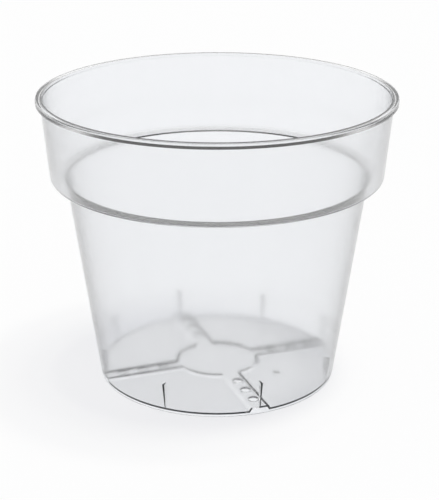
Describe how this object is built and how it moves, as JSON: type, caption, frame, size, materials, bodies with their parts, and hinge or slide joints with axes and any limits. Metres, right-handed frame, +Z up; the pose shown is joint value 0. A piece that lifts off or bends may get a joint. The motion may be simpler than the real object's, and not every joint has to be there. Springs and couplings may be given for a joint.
{
  "type": "orchid pot",
  "caption": "Clear tapered orchid pot with a stepped collar, rounded rim, a closed foot ring, raised drain channels with round holes and inner stacking ribs.",
  "frame": {"origin": "on the pot's axis, on the plane that it stands on", "axes": "+Z up along the pot's axis; the drain channels lie along X and Y, and the moulding mark is on the panel between +X and -Y"},
  "size_m": [0.12, 0.12, 0.099],
  "materials": {
    "clear_plastic": "clear moulded plastic with a light satin haze"
  },
  "bodies": {
    "root": {"rim_bead": "clear_plastic", "collar_wall": "clear_plastic", "shoulder_ledge": "clear_plastic", "body_wall": "clear_plastic", "drain_hub": "clear_plastic", "drain_channel_1": "clear_plastic", "drain_channel_2": "clear_plastic", "drain_channel_3": "clear_plastic", "drain_channel_4": "clear_plastic", "floor_panel_1": "clear_plastic", "floor_panel_2": "clear_plastic", "floor_panel_3": "clear_plastic", "floor_panel_4": "clear_plastic", "stacking_rib_1": "clear_plastic", "stacking_rib_2": "clear_plastic", "stacking_rib_3": "clear_plastic", "stacking_rib_4": "clear_plastic", "stacking_rib_5": "clear_plastic", "stacking_rib_6": "clear_plastic", "stacking_rib_7": "clear_plastic", "stacking_rib_8": "clear_plastic", "moulding_pip": "clear_plastic"}
  },
  "joints": []
}
